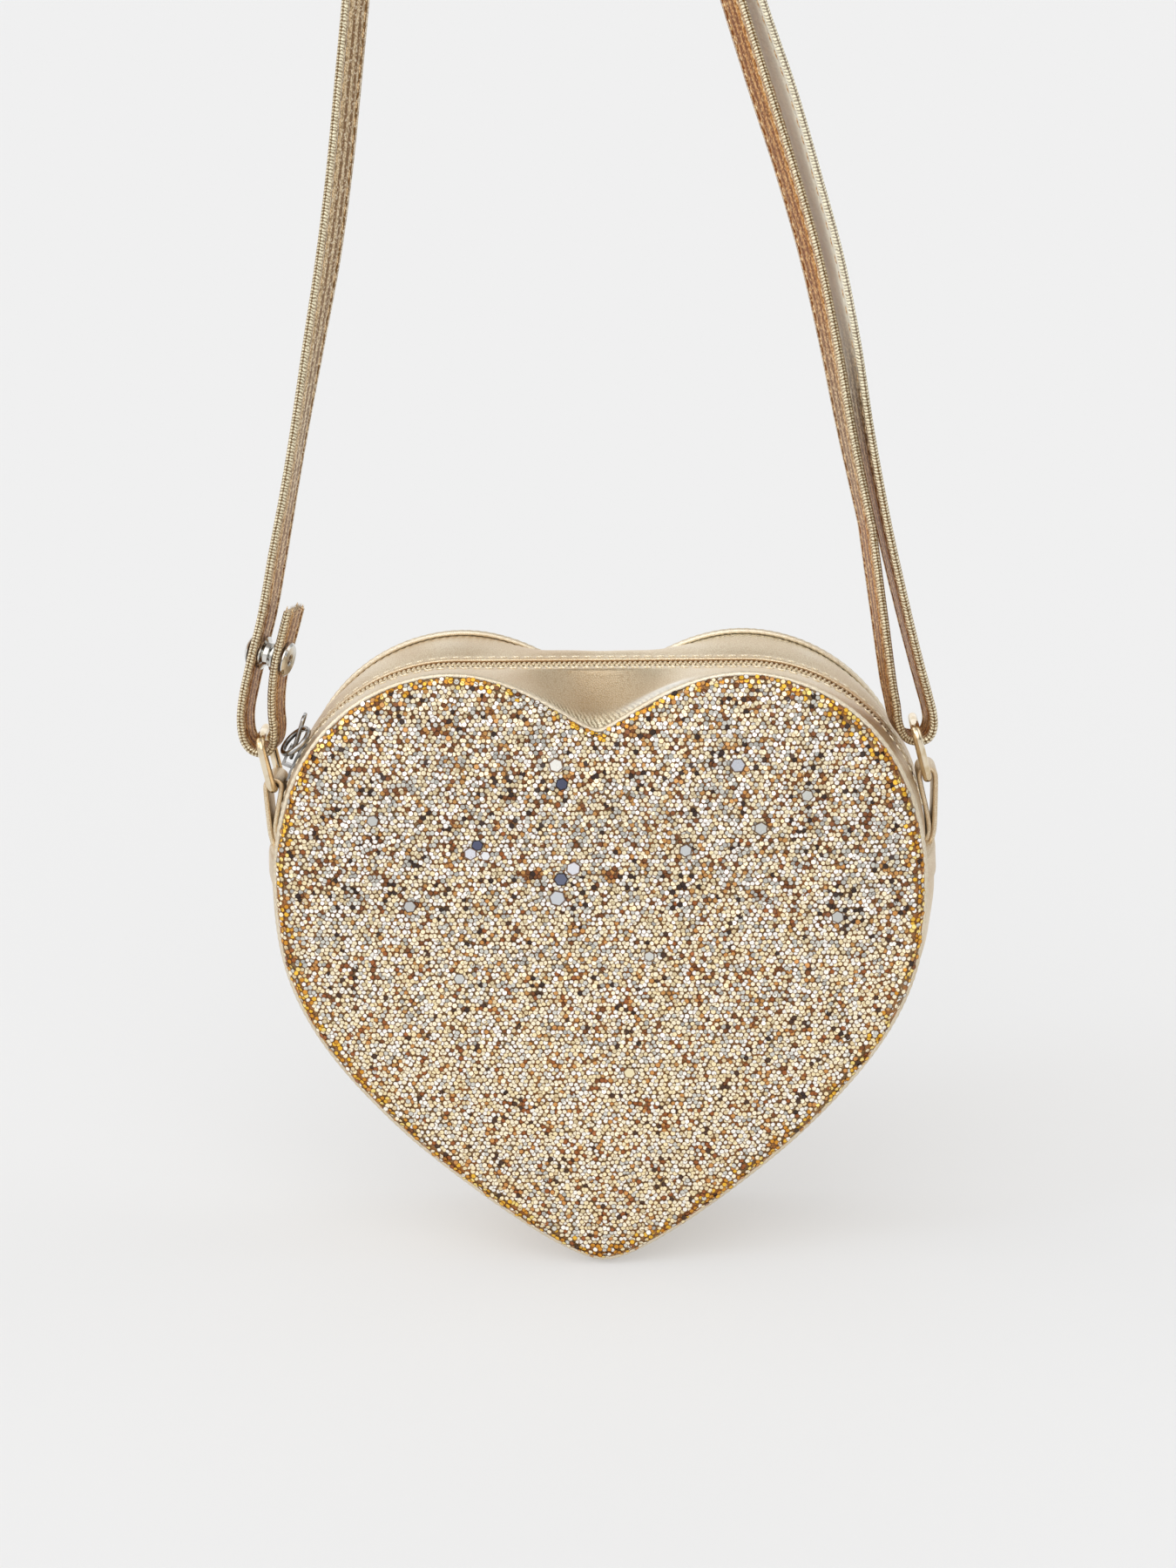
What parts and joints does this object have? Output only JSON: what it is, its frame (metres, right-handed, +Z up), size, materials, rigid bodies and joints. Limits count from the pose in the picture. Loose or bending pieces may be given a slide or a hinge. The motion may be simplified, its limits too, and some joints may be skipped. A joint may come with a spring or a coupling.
{
  "type": "heart shaped purse",
  "caption": "Small heart shaped shoulder purse with a glitter front, a gusset, a curved top zip, and a flat strap looped through two side rings.",
  "frame": {"origin": "inside of the strap at its highest point, where the bag hangs from a shoulder, hand or hook", "axes": "+X to the right seen from the glitter front, +Y from the front face to the back face, +Z up"},
  "size_m": [0.1809, 0.054, 0.5165],
  "materials": {
    "glitter": "chunky glitter on a coated fabric, rough and sparkling",
    "champagne_pu": "pearl champagne coated fabric with a fine grain, soft metallic sheen",
    "piping_pu": "pale pearl coated fabric over cord",
    "strap_pu": "folded pearl gold coated strip with sewn edges",
    "lining": "plain woven lining",
    "board": "stiffening board",
    "zip_tape": "woven zip tape",
    "zip_teeth": "metallised gold coil teeth",
    "gunmetal": "dark nickel plate, polished",
    "ring_metal": "pale gold nickel plate, polished"
  },
  "bodies": {
    "root": {"front_panel": "glitter", "front_board": "board", "back_panel": "champagne_pu", "back_board": "board", "front_piping": "piping_pu", "back_piping": "piping_pu", "lower_gusset": "champagne_pu", "front_zip_gusset": "champagne_pu", "back_zip_gusset": "champagne_pu", "front_lining": "lining", "back_lining": "lining", "gusset_lining": "lining", "front_zip_tape": "zip_tape", "back_zip_tape": "zip_tape", "front_zip_teeth": "zip_teeth", "back_zip_teeth": "zip_teeth", "zip_stop_left": "gunmetal", "zip_stop_right": "gunmetal", "left_tab": "champagne_pu", "right_tab": "champagne_pu", "strap": "strap_pu", "strap_return": "strap_pu", "snap_cap": "ring_metal", "snap_socket": "ring_metal", "snap_stud": "ring_metal", "snap_washer": "ring_metal"},
    "zip_slider": {"zip_slider": "gunmetal"},
    "zip_pull_link": {"zip_pull_link": "gunmetal"},
    "zip_pull_ring": {"zip_pull_ring": "gunmetal"},
    "left_ring": {"left_ring": "ring_metal"},
    "right_ring": {"right_ring": "ring_metal"},
    "adjuster": {"strap_adjuster": "ring_metal", "strap_sewn_end": "strap_pu"}
  },
  "joints": [
    {"name": "zip_slider_travel", "type": "hinge", "parent": "root", "child": "zip_slider", "pos_m": [-0.0133, 0, -0.4044], "axis": [0, 1, 0], "range_deg": [0, 55]},
    {"name": "zip_link_swing", "type": "hinge", "parent": "zip_slider", "child": "zip_pull_link", "pos_m": [-0.05641, 0, -0.38262], "axis": [0, -1, 0], "range_deg": [0, 5]},
    {"name": "zip_ring_swing", "type": "hinge", "parent": "zip_pull_link", "child": "zip_pull_ring", "pos_m": [-0.05416, -0.0023, -0.376], "axis": [0.3223, 0, 0.9466], "range_deg": [-2.5, 3]},
    {"name": "left_ring_swing", "type": "hinge", "parent": "root", "child": "left_ring", "pos_m": [-0.0608, 0, -0.3897], "axis": [0, 1, 0], "range_deg": [-2.5, 2.5]},
    {"name": "right_ring_swing", "type": "hinge", "parent": "root", "child": "right_ring", "pos_m": [0.1082, 0, -0.3877], "axis": [0, 1, 0], "range_deg": [-3, 3]},
    {"name": "adjuster_slide", "type": "slide", "parent": "root", "child": "adjuster", "axis": [-0.2874, 0, 0.9578], "range_m": [-0.02, 0.035], "deforming": ["strap_return"]}
  ]
}
